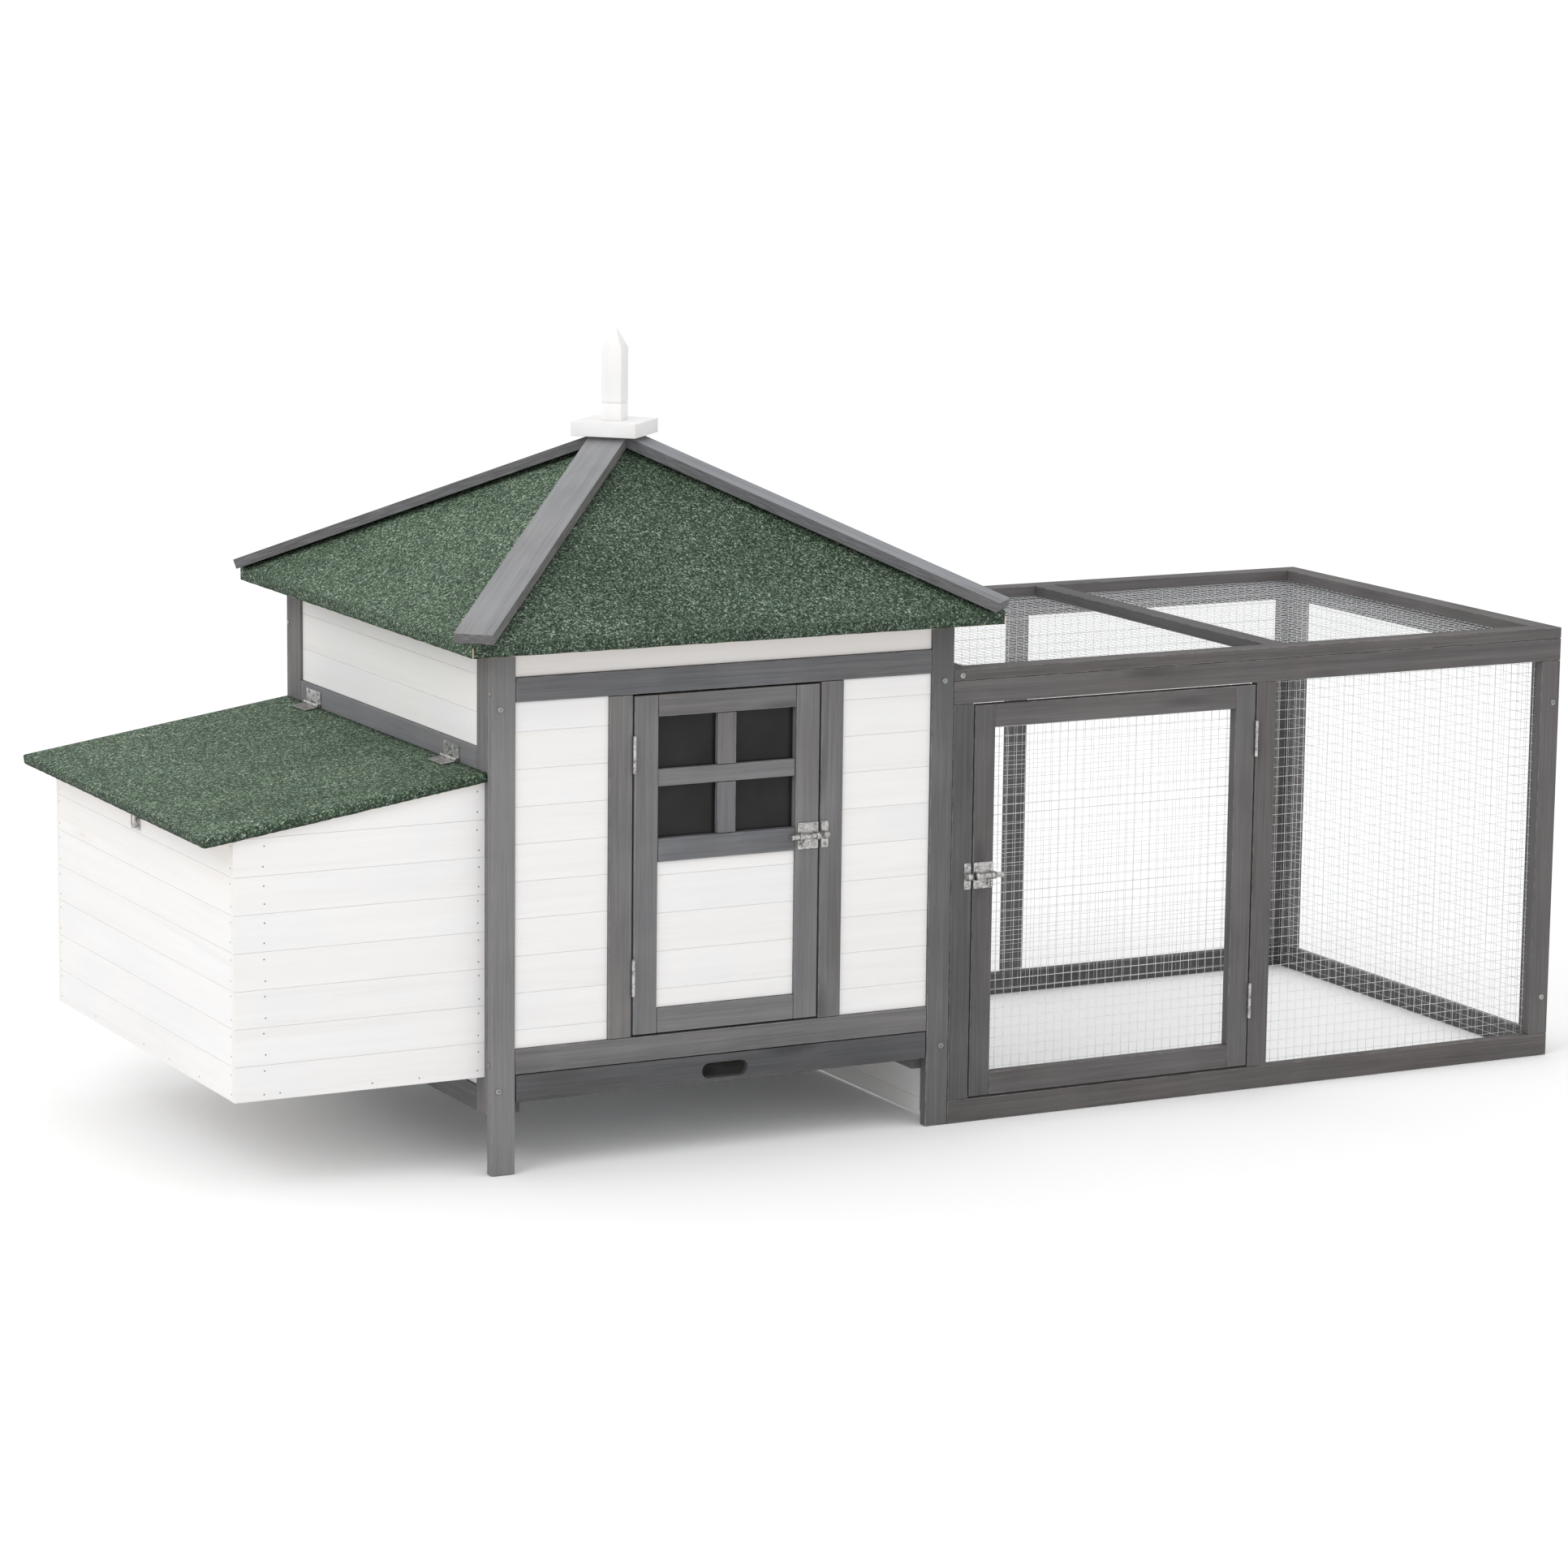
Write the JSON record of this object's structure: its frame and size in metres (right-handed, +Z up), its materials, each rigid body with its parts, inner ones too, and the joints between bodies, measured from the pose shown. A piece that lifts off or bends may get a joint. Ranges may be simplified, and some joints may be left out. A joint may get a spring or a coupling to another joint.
{
  "type": "chicken coop",
  "caption": "Timber chicken coop: hipped-roof hen house with window door and pull-out tray, hinged-lid nest box, and a low mesh run with its own door.",
  "frame": {"origin": "middle of the overall box on the ground plane", "axes": "+X from the house towards the run, +Y from the front with the doors to the back, +Z up"},
  "size_m": [1.945, 0.786, 1.003],
  "materials": {
    "stained_timber": "grey-brown stained softwood, fine grain, matt",
    "white_timber": "thin off-white stain on tongue and groove softwood, matt",
    "bare_timber": "unpainted softwood board",
    "roofing_felt": "dark green mineral roofing felt, rough granules",
    "mesh_wire": "galvanised welded wire mesh",
    "zinc_fittings": "bright zinc plated pressed steel",
    "tray_metal": "galvanised sheet, spangled",
    "window_sheet": "clear sheet over a dark inside"
  },
  "bodies": {
    "coop": {"back_boards": "white_timber", "back_frame": "stained_timber", "door_bolt_keeper": "zinc_fittings", "door_hinge_post_leaves": "zinc_fittings", "finial_plate": "white_timber", "finial_post": "white_timber", "front_boards": "white_timber", "front_frame": "stained_timber", "hasp_staple": "zinc_fittings", "hip_cap_back_left": "stained_timber", "hip_cap_back_right": "stained_timber", "hip_cap_front_left": "stained_timber", "hip_cap_front_right": "stained_timber", "left_boards": "white_timber", "left_frame": "stained_timber", "lid_hinge_wall_leaves": "zinc_fittings", "nest_back_wall": "white_timber", "nest_divider": "white_timber", "nest_floor": "bare_timber", "nest_front_wall": "white_timber", "nest_outer_wall": "white_timber", "perch": "stained_timber", "pop_guides": "stained_timber", "right_boards": "white_timber", "right_frame": "stained_timber", "roof_decks": "bare_timber", "roof_felt_back": "roofing_felt", "roof_felt_front": "roofing_felt", "roof_felt_left": "roofing_felt", "roof_felt_right": "roofing_felt", "run_back_frame": "stained_timber", "run_back_mesh": "mesh_wire", "run_bolt_keeper": "zinc_fittings", "run_end_frame": "stained_timber", "run_end_mesh": "mesh_wire", "run_front_frame": "stained_timber", "run_front_mesh": "mesh_wire", "run_hinge_post_leaves": "zinc_fittings", "run_top_frame": "stained_timber", "run_top_mesh": "mesh_wire", "tray_runners": "stained_timber"},
    "house_door": {"door_frame": "stained_timber", "door_boards": "white_timber", "window_pane": "window_sheet", "door_hinge_door_leaves": "zinc_fittings", "door_bolt_case": "zinc_fittings"},
    "door_bolt": {"door_bolt_rod": "zinc_fittings"},
    "run_door": {"run_door_frame": "stained_timber", "run_door_mesh": "mesh_wire", "run_hinge_door_leaves": "zinc_fittings", "run_bolt_case": "zinc_fittings"},
    "run_bolt": {"run_bolt_rod": "zinc_fittings"},
    "nest_lid": {"lid_deck": "bare_timber", "lid_felt": "roofing_felt", "lid_hinge_lid_leaves": "zinc_fittings", "hasp_mount": "zinc_fittings"},
    "lid_hasp": {"hasp_strap": "zinc_fittings"},
    "tray": {"tray_front": "stained_timber", "tray_pan": "tray_metal"},
    "pop_hatch": {"pop_door": "white_timber"}
  },
  "joints": [
    {"name": "house_door_hinge", "type": "hinge", "parent": "coop", "child": "house_door", "pos_m": [-0.415, -0.3325, 0.37], "axis": [0, 0, -1], "range_deg": [0, 120]},
    {"name": "door_bolt_slide", "type": "slide", "parent": "house_door", "child": "door_bolt", "axis": [1, 0, 0], "range_m": [0, 0.014]},
    {"name": "run_door_hinge", "type": "hinge", "parent": "coop", "child": "run_door", "pos_m": [0.488, -0.3325, 0.29], "axis": [0, 0, 1], "range_deg": [0, 120]},
    {"name": "run_bolt_slide", "type": "slide", "parent": "run_door", "child": "run_bolt", "axis": [-1, 0, 0], "range_m": [0, 0.014]},
    {"name": "nest_lid_hinge", "type": "hinge", "parent": "coop", "child": "nest_lid", "pos_m": [-0.6089, 0.0065, 0.5039], "axis": [0, 1, 0], "range_deg": [0, 80]},
    {"name": "hasp_hinge", "type": "hinge", "parent": "nest_lid", "child": "lid_hasp", "pos_m": [-0.9395, 0.012, 0.43597], "axis": [0, 1, 0], "range_deg": [0, 70]},
    {"name": "tray_slide", "type": "slide", "parent": "coop", "child": "tray", "axis": [0, -1, 0], "range_m": [0, 0.55]},
    {"name": "pop_hatch_slide", "type": "slide", "parent": "coop", "child": "pop_hatch", "axis": [0, -1, 0], "range_m": [0, 0.25]}
  ]
}
